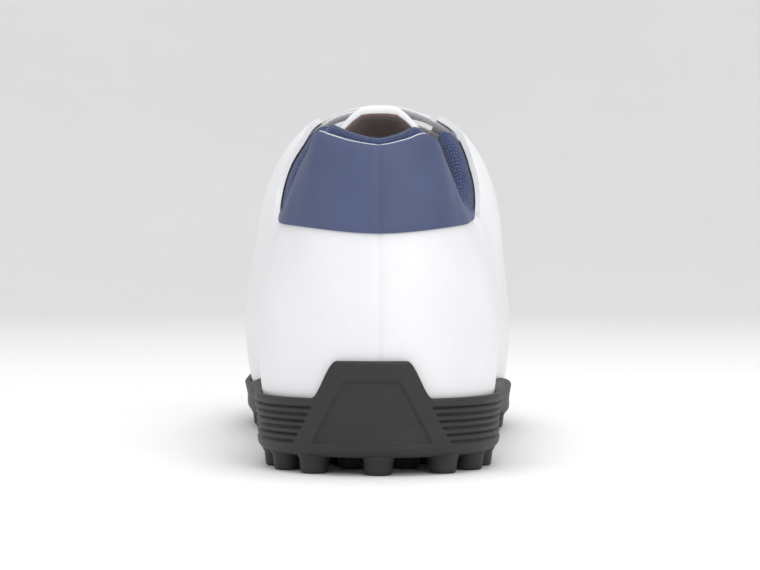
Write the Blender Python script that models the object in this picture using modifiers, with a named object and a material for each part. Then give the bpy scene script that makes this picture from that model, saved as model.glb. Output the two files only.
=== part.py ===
# A low football shoe for artificial turf, right foot, standing on its studs.
# Metres, +Z up, +Y towards the toe, +X towards the lateral (outer) side.
import math
from collections import namedtuple

import bmesh
import bpy
import numpy as np
from mathutils import Matrix, Vector

# Driving sizes of the last and the sole
SHOE_LENGTH = 0.288
HEEL_WIDTH = 0.0715
WAIST_WIDTH = 0.0720
BALL_WIDTH = 0.0950
TOE_WIDTH = 0.0720

# Heights above the ground
HEEL_COLLAR_HEIGHT = 0.0920
ANKLE_COLLAR_HEIGHT = 0.0735
INSTEP_HEIGHT = 0.1110
BALL_HEIGHT = 0.0690
TOE_HEIGHT = 0.0520

# The sole
STUD_HEIGHT = 0.0050
STUD_TOP_RADIUS = 0.0044
STUD_TIP_RADIUS = 0.0039
STUD_PITCH = 0.0130
STUD_RING_GAP = 0.0168
STUD_EDGE = 0.0062
STUD_ROOT = 0.0012
STUD_SIDES = 8
ARCH_RISE = 0.0030
TOE_SPRING = 0.0110
HEEL_STACK = 0.0080
FOREFOOT_STACK = 0.0055
WALL_HEIGHT = 0.0165
WALL_THICKNESS = 0.0024
WALL_TOP_ROUND = 0.0006
EDGE_ROUND = 0.0026
RIB_COUNT = 5
RIB_DEPTH = 0.0007
RIB_BAND = 0.0112
RIB_START = 0.0020
TAB_HEIGHT = 0.0320
TAB_TOP_WIDTH = 0.0190
TAB_BASE_WIDTH = 0.0340
TAB_CENTRE = -0.0028
TAB_RECESS = 0.0008
TAB_BORDER = 0.0026
TAB_FIELD_START = 0.0040
TAB_FIELD_TOP = 0.0060
TAB_FLARE = 0.42

# The upper and what lies on and in it
UPPER_WALL = 0.0018
CLEARANCE = 0.0003
LINING_DEPTH = 0.0400
LINING_PAD = 0.0055
LINING_HEM = 0.0016
LINING_RISE = 0.0038
PANEL_THICKNESS = 0.0008
PANEL_HEIGHT = 0.0250
INSOLE_THICKNESS = 0.0035
TONGUE_THICKNESS = 0.0042
TONGUE_HALF_WIDTH = 0.0230
TONGUE_TOP = 0.0930
TONGUE_END = 0.1720
TONGUE_CROWN = 0.0085
TONGUE_LEAST_CROWN = 0.0015
TONGUE_ARCH_HALF = 0.0140
ANKLE_DIP = 0.0720
THROAT_START = 0.0930
THROAT_LENGTH = 0.0640
THROAT_TOP_HALF = 0.0200
THROAT_FRONT_HALF = 0.0115
THROAT_EASE = 0.0060
THROAT_MARGIN = 0.0040
EYELET_ROWS = 6
EYELET_RADIUS = 0.0022
EYELET_INSET = 0.0070
EYELET_SIDES = 8
LACE_WIDTH = 0.0060
LACE_THICKNESS = 0.0015
LACE_CLEARANCE = 0.0006
LACE_STEP = 0.0004

# Where the ribs of the last fan out at each end, and the radius of each fan
HEEL_CENTRE = 0.0400
TOE_CENTRE = 0.2530
HEEL_FAN = 0.0350
TOE_FAN = 0.0280

# The sole's outline. along: share of the length. medial, lateral: share of the named width
WIDTHS = {"heel": HEEL_WIDTH, "waist": WAIST_WIDTH, "ball": BALL_WIDTH, "toe": TOE_WIDTH}
OUTLINE = (
    # width, along, medial, lateral
    ("heel", 0.000, 0.014, -0.014),
    ("heel", 0.025, 0.312, 0.284),
    ("heel", 0.070, 0.455, 0.425),
    ("heel", 0.160, 0.513, 0.487),
    ("heel", 0.270, 0.497, 0.485),
    ("waist", 0.380, 0.472, 0.505),
    ("ball", 0.500, 0.426, 0.437),
    ("ball", 0.600, 0.490, 0.479),
    ("ball", 0.700, 0.520, 0.474),
    ("ball", 0.780, 0.508, 0.432),
    ("toe", 0.880, 0.590, 0.410),
    ("toe", 0.950, 0.520, 0.225),
    ("toe", 0.985, 0.385, 0.050),
    ("toe", 1.000, 0.165, -0.165),
)

# The middle line that the ribs of the last rise to. across: share of the ball width
MIDLINE = (
    # along, across
    (0.00, -0.010),
    (0.33, -0.008),
    (0.52, -0.028),
    (0.70, -0.062),
    (0.88, -0.110),
    (1.00, -0.140),
)

# Sections of the upper, from the back seam round to the toe on either side.
# way: share of the length. ridge and widest: share of the named height.
# square: how full the section's shoulder is. bulge: how far it stands out past the sole.
HEIGHTS = {
    "heel": HEEL_COLLAR_HEIGHT,
    "ankle": ANKLE_COLLAR_HEIGHT,
    "instep": INSTEP_HEIGHT,
    "ball": BALL_HEIGHT,
    "toe": TOE_HEIGHT,
}
SECTIONS = (
    # height, way, ridge, widest, square, bulge medial, bulge lateral (shares of the ball width)
    ("heel", 0.000, 1.360, 0.400, 2.2, 0.020, 0.020),
    ("heel", 0.059, 1.413, 0.400, 2.2, 0.020, 0.020),
    ("heel", 0.0955, 1.350, 0.400, 2.2, 0.020, 0.020),
    ("heel", 0.127, 1.165, 0.405, 2.2, 0.021, 0.020),
    ("heel", 0.163, 1.070, 0.410, 2.2, 0.024, 0.022),
    ("ankle", 0.208, 1.265, 0.520, 2.2, 0.029, 0.027),
    ("ankle", 0.253, 1.279, 0.545, 2.2, 0.037, 0.033),
    ("ankle", 0.288, 1.317, 0.575, 2.2, 0.048, 0.041),
    ("ankle", 0.3125, 1.367, 0.615, 2.2, 0.060, 0.050),
    ("instep", 0.337, 0.932, 0.450, 2.2, 0.073, 0.058),
    ("instep", 0.358, 0.969, 0.487, 2.2, 0.083, 0.062),
    ("instep", 0.382, 0.994, 0.520, 2.2, 0.092, 0.064),
    ("instep", 0.434, 0.960, 0.505, 2.2, 0.098, 0.062),
    ("instep", 0.503, 0.878, 0.460, 2.2, 0.096, 0.052),
    ("instep", 0.573, 0.786, 0.410, 2.15, 0.076, 0.036),
    ("ball", 0.642, 1.130, 0.560, 2.15, 0.052, 0.030),
    ("ball", 0.710, 1.010, 0.500, 2.2, 0.036, 0.028),
    ("ball", 0.780, 0.900, 0.450, 2.25, 0.028, 0.026),
    ("toe", 0.850, 1.090, 0.570, 2.3, 0.024, 0.022),
    ("toe", 0.932, 0.980, 0.600, 2.5, 0.020, 0.020),
    ("toe", 1.100, 0.980, 0.680, 2.6, 0.018, 0.018),
)

# The collar's edge. way: share of the length. medial, lateral: share of the named height
TOPLINE = (
    # height, way, medial, lateral
    ("heel", 0.000, 1.000, 1.000),
    ("heel", 0.030, 1.012, 1.010),
    ("heel", 0.059, 1.034, 1.026),
    ("heel", 0.077, 1.023, 1.013),
    ("heel", 0.0955, 0.996, 0.988),
    ("heel", 0.127, 0.936, 0.930),
    ("heel", 0.163, 0.877, 0.872),
    ("ankle", 0.208, 1.030, 1.020),
    ("ankle", 0.253, 1.006, 0.994),
    ("ankle", 0.288, 1.040, 1.022),
    ("ankle", 0.3125, 1.108, 1.085),
    ("instep", 0.337, 0.808, 0.790),
    ("instep", 0.358, 0.885, 0.862),
    ("instep", 0.382, 0.955, 0.930),
    ("instep", 0.400, 1.060, 1.050),
)

# The sole wall's height above the underside. share: of the wall's height at the heel
WALL_LINE = (
    # along, share
    (0.00, 1.00),
    (0.16, 0.99),
    (0.34, 0.82),
    (0.50, 0.70),
    (0.70, 0.68),
    (0.86, 0.82),
    (1.00, 1.06),
)

# The lower edge of the heel panel. way: share of the length. share: of the panel's height
# below the collar at the back seam
PANEL_LINE = (
    # way, share
    (0.000, 1.00),
    (0.085, 0.91),
    (0.150, 0.86),
    (0.195, 0.83),
    (0.212, 0.79),
    (0.220, 0.71),
)

FINISHES = {
    # node: colour, roughness
    "outsole": ((0.020, 0.021, 0.023), 0.62),
    "upper": ((0.80, 0.81, 0.84), 0.38),
    "heel_panel": ((0.055, 0.074, 0.155), 0.50),
    "collar_lining": ((0.012, 0.022, 0.070), 0.90),
    "tongue": ((0.62, 0.60, 0.58), 0.60),
    "insole": ((0.10, 0.10, 0.12), 0.85),
    "laces": ((0.82, 0.82, 0.84), 0.75),
}

Column = namedtuple("Column", "side foot direction reach way y")


# Curves through short tables

def slopes_of(xs, ys):
    """Slopes that keep a curve through the points from swinging past them, level at both ends."""
    steps = np.diff(xs)
    rises = np.diff(ys) / steps
    slopes = np.zeros(len(xs))
    for k in range(1, len(xs) - 1):
        if rises[k - 1] * rises[k] > 0:
            before, after = 2 * steps[k] + steps[k - 1], steps[k] + 2 * steps[k - 1]
            slopes[k] = (before + after) / (before / rises[k - 1] + after / rises[k])
    return slopes


def smooth(xs, ys, x):
    xs, ys = np.asarray(xs, float), np.asarray(ys, float)
    slopes = slopes_of(xs, ys)
    x = np.clip(x, xs[0], xs[-1])
    k = np.clip(np.searchsorted(xs, x, side="right") - 1, 0, len(xs) - 2)
    step = xs[k + 1] - xs[k]
    t = (x - xs[k]) / step
    return (
        (1 + 2 * t) * (1 - t) ** 2 * ys[k]
        + t * (1 - t) ** 2 * step * slopes[k]
        + t * t * (3 - 2 * t) * ys[k + 1]
        + t * t * (t - 1) * step * slopes[k + 1]
    )


def closed_spline(points, per_span):
    """A closed cubic curve through the points, spaced by their distances."""
    points = np.asarray(points, float)
    count = len(points)
    gaps = np.linalg.norm(np.roll(points, -1, axis=0) - points, axis=1)
    matrix = np.zeros((count, count))
    right = np.zeros((count, 2))
    for k in range(count):
        before, after = gaps[k - 1], gaps[k]
        matrix[k, k - 1] += after
        matrix[k, k] += 2 * (before + after)
        matrix[k, (k + 1) % count] += before
        right[k] = 3 * (
            after * (points[k] - points[k - 1]) / before
            + before * (points[(k + 1) % count] - points[k]) / after
        )
    tangents = np.linalg.solve(matrix, right)
    t = np.linspace(0, 1, per_span, endpoint=False)[:, None]
    spans = []
    for k in range(count):
        after = (k + 1) % count
        spans.append(
            (1 + 2 * t) * (1 - t) ** 2 * points[k]
            + t * (1 - t) ** 2 * gaps[k] * tangents[k]
            + t * t * (3 - 2 * t) * points[after]
            + t * t * (t - 1) * gaps[k] * tangents[after]
        )
    return np.vstack(spans)


def sole_outline():
    lateral = [(row[3] * WIDTHS[row[0]], row[1] * SHOE_LENGTH) for row in OUTLINE]
    medial = [(-row[2] * WIDTHS[row[0]], row[1] * SHOE_LENGTH) for row in OUTLINE[1:-1]]
    return closed_spline(lateral + medial[::-1], 40)


SOLE_OUTLINE = sole_outline()


def from_table(rows, named, column, way):
    """The column of a table that names the height that each row follows."""
    ways = [row[1] * SHOE_LENGTH for row in rows]
    return smooth(ways, [row[column] * named[row[0]] for row in rows], way)


def shares(rows, unit, x):
    return smooth([row[0] * SHOE_LENGTH for row in rows], [row[1] * unit for row in rows], x)


def step(x):
    x = np.clip(x, 0, 1)
    return x * x * (3 - 2 * x)


def midline(y):
    return shares(MIDLINE, BALL_WIDTH, y)


# Heights of the sole along its length

def underside(y):
    share = np.asarray(y) / SHOE_LENGTH
    arch = ARCH_RISE * step((share - 0.26) / 0.12) * step((0.60 - share) / 0.12)
    spring = TOE_SPRING * np.clip((share - 0.72) / 0.28, 0, 1) ** 1.8
    return STUD_HEIGHT + arch + spring


def bed(y):
    blend = step((np.asarray(y) / SHOE_LENGTH - 0.28) / 0.34)
    return underside(y) + HEEL_STACK + (FOREFOOT_STACK - HEEL_STACK) * blend


def wall_top(column):
    """The top of the sole's wall, with the tab that rises at the back of the heel."""
    x, y = at(column, column.reach)
    plain = underside(y) + shares(WALL_LINE, WALL_HEIGHT, y)
    if y > HEEL_CENTRE:
        return float(plain)
    off = abs(x - TAB_CENTRE)
    flank = step((TAB_BASE_WIDTH / 2 - off) / ((TAB_BASE_WIDTH - TAB_TOP_WIDTH) / 2))
    return float(plain + (TAB_HEIGHT - plain) * flank)


# Ribs of the last: upright planes round the shoe, each from the outline in to the middle line

def at(column, reach):
    return (
        column.foot[0] + column.direction[0] * reach,
        column.foot[1] + column.direction[1] * reach,
    )


def fan_reach(centre, turn):
    """How far the outline lies from a fan's centre, at an angle from straight back."""
    away = SOLE_OUTLINE - centre
    turns = np.arctan2(away[:, 0], -away[:, 1])
    order = np.argsort(turns)
    return float(
        np.interp(turn, turns[order], np.hypot(*away[order].T), period=2 * math.pi)
    )


def side_reach(side, y):
    x, ys = SOLE_OUTLINE[:, 0], SOLE_OUTLINE[:, 1]
    half = np.flatnonzero(side * (x - midline(ys)) > 0)
    half = half[np.argsort(ys[half])]
    return float(abs(np.interp(y, ys[half], x[half]) - midline(y)))


def fan_column(side, y, turn, way):
    centre = np.array((float(midline(y)), y))
    direction = (side * math.sin(turn), -math.cos(turn))
    return Column(side, tuple(centre), direction, fan_reach(centre, side * turn), way, y)


def side_column(side, y):
    way = HEEL_FAN * math.pi / 2 + y - HEEL_CENTRE
    return Column(side, (float(midline(y)), y), (side, 0.0), side_reach(side, y), way, y)


def half_ring(side, heel_turns, stations, toe_turns):
    toe_way = HEEL_FAN * math.pi / 2 + TOE_CENTRE - HEEL_CENTRE
    ring = [fan_column(side, HEEL_CENTRE, turn, HEEL_FAN * turn) for turn in heel_turns]
    ring += [side_column(side, y) for y in stations]
    ring += [
        fan_column(side, TOE_CENTRE, math.pi / 2 + turn, toe_way + TOE_FAN * turn)
        for turn in toe_turns
    ]
    return ring


def ring_of_columns():
    """Round the shoe: back seam, lateral side, toe, medial side."""
    quarter = math.pi / 2
    heel_turns = np.concatenate((np.linspace(0, 0.52, 5), np.linspace(0.70, quarter, 6)[:-1]))
    throat_end = THROAT_START + THROAT_LENGTH
    stations = np.concatenate(
        (
            np.linspace(HEEL_CENTRE, ANKLE_DIP, 5)[:-1],
            np.linspace(ANKLE_DIP, THROAT_START + THROAT_MARGIN, 6)[:-1],
            np.linspace(THROAT_START + THROAT_MARGIN, throat_end - THROAT_MARGIN, 6)[:-1],
            np.linspace(throat_end - THROAT_MARGIN, throat_end + THROAT_MARGIN, 4)[:-1],
            np.linspace(throat_end + THROAT_MARGIN, TOE_CENTRE, 6),
        )
    )
    toe_turns = np.linspace(0, quarter, 6)[1:]
    lateral = half_ring(1, heel_turns, stations, toe_turns)
    medial = half_ring(-1, heel_turns, stations, toe_turns)
    return lateral + medial[-2:0:-1]


def rib(column):
    """Reach from the middle line, and height, up one rib of the upper from the sole to the ridge."""
    side_bulge = 6 if column.side > 0 else 5
    ridge = from_table(SECTIONS, HEIGHTS, 2, column.way)
    widest = from_table(SECTIONS, HEIGHTS, 3, column.way)
    ways = [row[1] * SHOE_LENGTH for row in SECTIONS]
    square = smooth(ways, [row[4] for row in SECTIONS], column.way)
    bulge = smooth(ways, [row[side_bulge] * BALL_WIDTH for row in SECTIONS], column.way)
    base = column.reach - WALL_THICKNESS - CLEARANCE
    foot_z = float(bed(at(column, base)[1])) + CLEARANCE
    share = np.linspace(0, 1, 30, endpoint=False)
    lower = np.column_stack(
        (base + bulge * np.sin(share * math.pi / 2), foot_z + (widest - foot_z) * share)
    )
    angle = np.linspace(0, math.pi / 2, 90)
    upper = np.column_stack(
        (
            (base + bulge) * np.maximum(np.cos(angle), 0) ** (2 / square),
            widest + (ridge - widest) * np.sin(angle) ** (2 / square),
        )
    )
    return np.vstack((lower, upper))


def inset(profile, depth):
    """The rib's line moved in by a depth, or out by a negative one."""
    tangent = np.gradient(profile, axis=0)
    tangent /= np.linalg.norm(tangent, axis=1)[:, None]
    return profile + depth * np.column_stack((-tangent[:, 1], tangent[:, 0]))


def collar_height(column):
    side = 3 if column.side > 0 else 2
    return float(from_table(TOPLINE, HEIGHTS, side, column.way))


def throat_half(y):
    """Half the width of the throat, which ends in a round at the front."""
    share = np.clip((y - THROAT_START) / THROAT_LENGTH, 0, 1)
    plain = THROAT_TOP_HALF + (THROAT_FRONT_HALF - THROAT_TOP_HALF) * share
    round_from = 0.82
    end = np.clip((share - round_from) / (1 - round_from), 0, 1)
    return float(plain * math.sqrt(max(1 - end**2, 0)))


def edge_index(column):
    """Where the rib meets the collar's edge or the throat, as a place in its list of points."""
    profile = rib(column)
    last = len(profile) - 1
    throat_end = THROAT_START + THROAT_LENGTH
    collar_way = TOPLINE[-1][1] * SHOE_LENGTH
    places = np.arange(len(profile), dtype=float)
    edge = float(last)
    if column.way <= collar_way:
        edge = float(np.interp(collar_height(column), profile[:, 1], places))
    if THROAT_START <= column.y <= throat_end and column.direction[1] == 0:
        throat = float(np.interp(-throat_half(column.y), -profile[:, 0], places))
        edge = min(edge, throat)
    return edge


def sample(profile, start, end, rows):
    """Points evenly spaced along a profile, between two places in its list."""
    places = np.arange(len(profile), dtype=float)
    fine = np.linspace(start, end, 200)
    line = np.column_stack([np.interp(fine, places, profile[:, k]) for k in (0, 1)])
    length = np.concatenate(([0], np.cumsum(np.linalg.norm(np.diff(line, axis=0), axis=1))))
    wanted = np.linspace(0, length[-1], rows)
    return np.column_stack([np.interp(wanted, length, line[:, k]) for k in (0, 1)])


def in_space(column, line):
    """A rib's line, in reach and height, as points of the shoe."""
    x = column.foot[0] + column.direction[0] * line[:, 0]
    y = column.foot[1] + column.direction[1] * line[:, 0]
    return np.column_stack((x, y, line[:, 1]))


# Meshes

def new_object(name, bm, collection):
    bmesh.ops.remove_doubles(bm, verts=bm.verts, dist=2e-6)
    bmesh.ops.recalc_face_normals(bm, faces=bm.faces)
    mesh = bpy.data.meshes.new(name)
    bm.to_mesh(mesh)
    bm.free()
    obj = bpy.data.objects.new(name, mesh)
    collection.objects.link(obj)
    return obj


def add_grid(bm, lines, closed_run, closed_line):
    """Faces between neighbouring lines of points, all with as many points."""
    rows = [[bm.verts.new(point) for point in line] for line in lines]
    runs = len(rows) if closed_run else len(rows) - 1
    count = len(rows[0])
    for k in range(runs):
        here, there = rows[k], rows[(k + 1) % len(rows)]
        for j in range(count if closed_line else count - 1):
            after = (j + 1) % count
            bm.faces.new((here[j], here[after], there[after], there[j]))
    return rows


def shell(name, lines, collection):
    """A closed band: loops of points joined in a run, with both ends filled."""
    bm = bmesh.new()
    rows = add_grid(bm, lines, closed_run=False, closed_line=True)
    bm.faces.new(rows[0])
    bm.faces.new(rows[-1])
    return new_object(name, bm, collection)


def cushion(name, lines, collection):
    """A closed solid whose lines run from the middle line, round the edge and back to it."""
    bm = bmesh.new()
    add_grid(bm, lines, closed_run=True, closed_line=False)
    return new_object(name, bm, collection)


# The upper

def make_upper(ring, collection):
    rows = 9
    bm = bmesh.new()
    lines = []
    for column in ring:
        profile = rib(column)
        lines.append(in_space(column, sample(profile, 0, edge_index(column), rows)))
    add_grid(bm, lines, closed_run=True, closed_line=False)
    upper = new_object("upper", bm, collection)
    wall = upper.modifiers.new("wall", "SOLIDIFY")
    wall.thickness = UPPER_WALL
    wall.offset = -1
    wall.use_even_offset = True
    return upper


def surface_point(y, across, lift):
    """A point over the instep, a distance across from the middle line, lifted off the skin."""
    column = side_column(1 if across > 0 else -1, y)
    profile = inset(rib(column), -lift)
    order = np.argsort(profile[:, 0])
    z = np.interp(abs(across), profile[order, 0], profile[order, 1])
    return np.array((float(midline(y)) + across, y, float(z)))


def skin_normal(y, across):
    small = 0.0004
    way = surface_point(y + small, across, 0) - surface_point(y - small, across, 0)
    over = surface_point(y, across + small, 0) - surface_point(y, across - small, 0)
    normal = np.cross(over, way)
    return normal / np.linalg.norm(normal)


def eyelet_rows():
    first = THROAT_START + EYELET_INSET
    last = THROAT_START + THROAT_LENGTH - EYELET_INSET
    for y in np.linspace(first, last, EYELET_ROWS):
        yield float(y), throat_half(y) + EYELET_INSET


def punch_eyelets(upper, cutters):
    """One cutter with a peg for each eyelet, square to the skin."""
    bm = bmesh.new()
    for y, across in eyelet_rows():
        for side in (-1, 1):
            normal = skin_normal(y, side * across)
            turn = Vector(normal).to_track_quat("Z", "Y").to_matrix().to_4x4()
            turn.translation = Vector(surface_point(y, side * across, 0))
            bmesh.ops.create_cone(
                bm,
                cap_ends=True,
                segments=EYELET_SIDES,
                radius1=EYELET_RADIUS,
                radius2=EYELET_RADIUS,
                depth=UPPER_WALL * 5,
                matrix=turn,
            )
    cutter = new_object("eyelet_cutter", bm, cutters)
    hide(cutter)
    cut = upper.modifiers.new("eyelets", "BOOLEAN")
    cut.operation = "DIFFERENCE"
    cut.object = cutter


def hide(obj):
    obj.hide_render = True
    obj.display_type = "WIRE"


# The outsole

def wall_offset(column, z, row, x):
    """How far the wall stands out past the upper, with the ribs of the heel and the tab's recess."""
    out = WALL_THICKNESS
    if column.foot[1] > HEEL_CENTRE:
        return out
    slant = TAB_TOP_WIDTH / 2 + (TAB_HEIGHT - z) * TAB_FLARE
    if abs(x - TAB_CENTRE) < slant:
        lowest = underside(0) + TAB_FIELD_START
        in_field = lowest < z < TAB_HEIGHT - TAB_FIELD_TOP
        if in_field and abs(x - TAB_CENTRE) < slant - TAB_BORDER:
            out -= TAB_RECESS
        return out
    if 0 < row < 2 * RIB_COUNT and row % 2 == 0:
        out -= RIB_DEPTH
    return out


def sole_line(column):
    profile = rib(column)
    top = wall_top(column)
    edge = column.reach
    low = float(underside(at(column, edge)[1]))
    foot_z = profile[0, 1]

    def skin(z):
        return float(np.interp(max(z, foot_z), profile[:30, 1], profile[:30, 0]))

    line = []
    for share in (0.0, 0.6):
        reach = share * (edge - EDGE_ROUND)
        line.append((reach, float(underside(at(column, reach)[1]))))
    line.append((edge - EDGE_ROUND, low))
    line.append((edge - EDGE_ROUND * 0.30, low + EDGE_ROUND * 0.30))
    rib_top = min(low + RIB_START + RIB_BAND, low + (top - low) * 0.75)
    heights = list(np.linspace(low + RIB_START, rib_top, 2 * RIB_COUNT + 1))
    heights.append(top - WALL_TOP_ROUND * 2)
    for row, z in enumerate(heights):
        x = at(column, edge)[0]
        reach = skin(z) + CLEARANCE + wall_offset(column, z, row, x)
        line.append((reach, z))
    line.append((skin(top) + CLEARANCE + WALL_THICKNESS - WALL_TOP_ROUND * 1.6, top))
    line.append((skin(top) + CLEARANCE, top - WALL_TOP_ROUND))
    line.append((skin((top + foot_z) / 2) + CLEARANCE, (top + foot_z) / 2))
    line.append((profile[0, 0] + CLEARANCE, foot_z - CLEARANCE))
    line.append((0.0, float(bed(column.foot[1]))))
    return in_space(column, np.array(line))


def inset_outline(distance):
    """The sole's outline moved in by a distance, as evenly spaced points."""
    tangent = np.roll(SOLE_OUTLINE, -1, axis=0) - np.roll(SOLE_OUTLINE, 1, axis=0)
    tangent /= np.linalg.norm(tangent, axis=1)[:, None]
    return SOLE_OUTLINE + distance * np.column_stack((-tangent[:, 1], tangent[:, 0]))


def stud_places():
    """Studs in rings, one inside the other, apart from the bare bridge under the arch."""
    places = []
    inset_by = STUD_EDGE
    while inset_by < BALL_WIDTH / 2:
        loop = inset_outline(inset_by)
        ring = np.vstack((loop, loop[:1]))
        length = np.concatenate(([0], np.cumsum(np.linalg.norm(np.diff(ring, axis=0), axis=1))))
        pitch = STUD_PITCH if inset_by == STUD_EDGE else STUD_RING_GAP
        count = int(round(length[-1] / pitch))
        for k in range(count):
            way = (k + 0.5 * (len(places) > 0)) * length[-1] / count
            point = np.array([np.interp(way, length, ring[:, axis]) for axis in (0, 1)])
            add_stud(places, point, inset_by)
        inset_by += STUD_RING_GAP
    return places


def add_stud(places, point, inset_by):
    share = point[1] / SHOE_LENGTH
    on_bridge = 0.33 < share < 0.50 and (inset_by > STUD_EDGE or 0.37 < share < 0.46)
    from_edge = np.linalg.norm(SOLE_OUTLINE - point, axis=1).min()
    apart = min([np.linalg.norm(point - other) for other in places], default=1)
    if not on_bridge and from_edge > inset_by * 0.97 and apart > STUD_PITCH * 0.78:
        places.append(point)


def make_studs(cutters):
    bm = bmesh.new()
    for x, y in stud_places():
        root = float(underside(y))
        height = STUD_HEIGHT + STUD_ROOT
        matrix = Matrix.Translation((x, y, root - STUD_HEIGHT + height / 2))
        bmesh.ops.create_cone(
            bm,
            cap_ends=True,
            segments=STUD_SIDES,
            radius1=STUD_TIP_RADIUS,
            radius2=STUD_TOP_RADIUS,
            depth=height,
            matrix=matrix,
        )
    studs = new_object("studs", bm, cutters)
    hide(studs)
    return studs


def make_outsole(ring, collection, cutters):
    outsole = cushion("outsole", [sole_line(column) for column in ring], collection)
    join = outsole.modifiers.new("studs", "BOOLEAN")
    join.operation = "UNION"
    join.object = make_studs(cutters)
    return outsole


def make_insole(ring, collection):
    lines = []
    for column in ring:
        edge = rib(column)[0, 0] - UPPER_WALL - 2 * CLEARANCE
        line = []
        for reach, rise in ((0, 0), (edge, 0), (edge, 1), (0.5 * edge, 1), (0, 1)):
            floor = float(bed(at(column, reach)[1])) + CLEARANCE
            line.append((reach, floor + rise * INSOLE_THICKNESS))
        lines.append(in_space(column, np.array(line)))
    return cushion("insole", lines, collection)


# The collar and the heel panel

def collar_columns(ring, last_way):
    """The columns from the medial front of the collar, round the heel, to the lateral front."""
    lateral = [column for column in ring if column.side > 0 and column.way <= last_way]
    medial = [column for column in ring if column.side < 0 and column.way <= last_way]
    return medial + lateral


def make_lining(ring, collection):
    """A padded band inside the collar, thick at its rolled rim and thin at its hem."""
    rows = 4
    near = UPPER_WALL + CLEARANCE * 3
    lines = []
    for column in collar_columns(ring, THROAT_START + HEEL_FAN * math.pi / 2 - HEEL_CENTRE):
        profile = rib(column)
        places = np.arange(len(profile), dtype=float)
        edge = edge_index(column)
        hem_z = collar_height(column) - LINING_DEPTH
        hem = float(np.interp(hem_z, profile[:, 1], places))
        outer = sample(inset(profile, near), hem, edge, rows)
        inner = sample(inset(profile, near + LINING_HEM), hem, edge, rows)
        padded = sample(inset(profile, near + LINING_PAD), hem, edge, rows)
        share = np.linspace(0, 1, rows)[:, None] ** 0.6
        inner = inner + (padded - inner) * share
        up = outer[-1] - outer[-2]
        up /= np.linalg.norm(up)
        across = np.array((-up[1], up[0]))
        rim = [
            outer[-1] + up * rise * LINING_RISE + across * over * LINING_PAD
            for rise, over in ((0.65, 0.03), (1.0, 0.28), (1.0, 0.62), (0.55, 0.92))
        ]
        loop = np.vstack((outer, rim, inner[::-1]))
        lines.append(in_space(column, loop))
    return shell("collar_lining", lines, collection)


def make_panel(ring, collection):
    """The overlay round the heel, from the collar's edge down to a shallow V."""
    rows = 6
    near = CLEARANCE * 2
    last_way = PANEL_LINE[-1][0] * SHOE_LENGTH
    lines = []
    for column in collar_columns(ring, last_way):
        profile = rib(column)
        places = np.arange(len(profile), dtype=float)
        low_z = HEEL_COLLAR_HEIGHT - shares(PANEL_LINE, PANEL_HEIGHT, column.way)
        start = float(np.interp(low_z, profile[:, 1], places))
        end = float(np.interp(collar_height(column) - CLEARANCE, profile[:, 1], places))
        inner = sample(inset(profile, -near), start, end, rows)
        outer = sample(inset(profile, -near - PANEL_THICKNESS), start, end, rows)
        lines.append(in_space(column, np.vstack((inner, outer[::-1]))))
    return shell("heel_panel", lines, collection)


# The tongue and the laces

def tongue_top(y, across):
    """The tongue's upper face: an arch of its own, kept under the upper's inner face."""
    share = (y - TONGUE_TOP) / (TONGUE_END - TONGUE_TOP)
    profile = rib(side_column(1 if across > 0 else -1, y))
    crown = TONGUE_CROWN * (1 - step(share / 0.55)) + TONGUE_LEAST_CROWN
    sunk = (UPPER_WALL + 4 * CLEARANCE) * step(share / 0.25)
    arch = profile[-1, 1] - sunk - crown * (across / TONGUE_ARCH_HALF) ** 2
    under = inset(profile, UPPER_WALL + 4 * CLEARANCE)
    order = np.argsort(under[:, 0])
    ceiling = float(np.interp(abs(across), under[order, 0], under[order, 1]))
    within = step((throat_half(y) - THROAT_EASE / 2 - abs(across)) / THROAT_EASE)
    return min(arch, ceiling + float(within) * UPPER_WALL)


def make_tongue(collection):
    lines = []
    for y in np.linspace(TONGUE_TOP, TONGUE_END, 10):
        share = (y - TONGUE_TOP) / (TONGUE_END - TONGUE_TOP)
        half = TONGUE_HALF_WIDTH * (1 - 0.22 * share)
        thick = TONGUE_THICKNESS * (1 - 0.35 * share)
        over = [(a, tongue_top(y, a)) for a in np.linspace(-half, half, 13)]
        under = [(a * 0.97, z - thick) for a, z in over[::-1]]
        middle = float(midline(y))
        lines.append([(middle + a, y, z) for a, z in over + under])
    return shell("tongue", lines, collection)


def lace_strip(name, start, end, lift, collection):
    """A flat strip that lies over the instep between two eyelets, lifted off the skin."""
    (y0, across0), (y1, across1) = start, end
    loops = []
    for share in np.linspace(0, 1, 5):
        y = y0 + (y1 - y0) * share
        across = across0 + (across1 - across0) * share
        normal = skin_normal(y, across)
        along = np.array((across1 - across0, y1 - y0, 0.0))
        flat = np.cross(normal, along)
        flat *= LACE_WIDTH / 2 / np.linalg.norm(flat)
        low = surface_point(y, across, 0) + normal * (LACE_CLEARANCE + lift)
        high = low + normal * LACE_THICKNESS
        loops.append([low - flat, low + flat, high + flat, high - flat])
    return shell(name, loops, collection)


def make_laces(collection, cutters):
    """Crossings from each pair of eyelets to the next, and a straight bar at the lowest pair."""
    rows = list(eyelet_rows())
    y, across = rows[-1]
    laces = lace_strip("laces", (y, -across), (y, across), 0, collection)
    for k in range(EYELET_ROWS - 1):
        (y0, across0), (y1, across1) = rows[k], rows[k + 1]
        for side in (-1, 1):
            name = f"lace_strip_{k}_{'lateral' if side > 0 else 'medial'}"
            ends = (y1, -side * across1), (y0, side * across0)
            lift = LACE_STEP * (1 if side < 0 else 2)
            strip = lace_strip(name, *ends, lift, cutters)
            hide(strip)
            join = laces.modifiers.new(name, "BOOLEAN")
            join.operation = "UNION"
            join.object = strip
    return laces


# Finish and assembly

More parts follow.
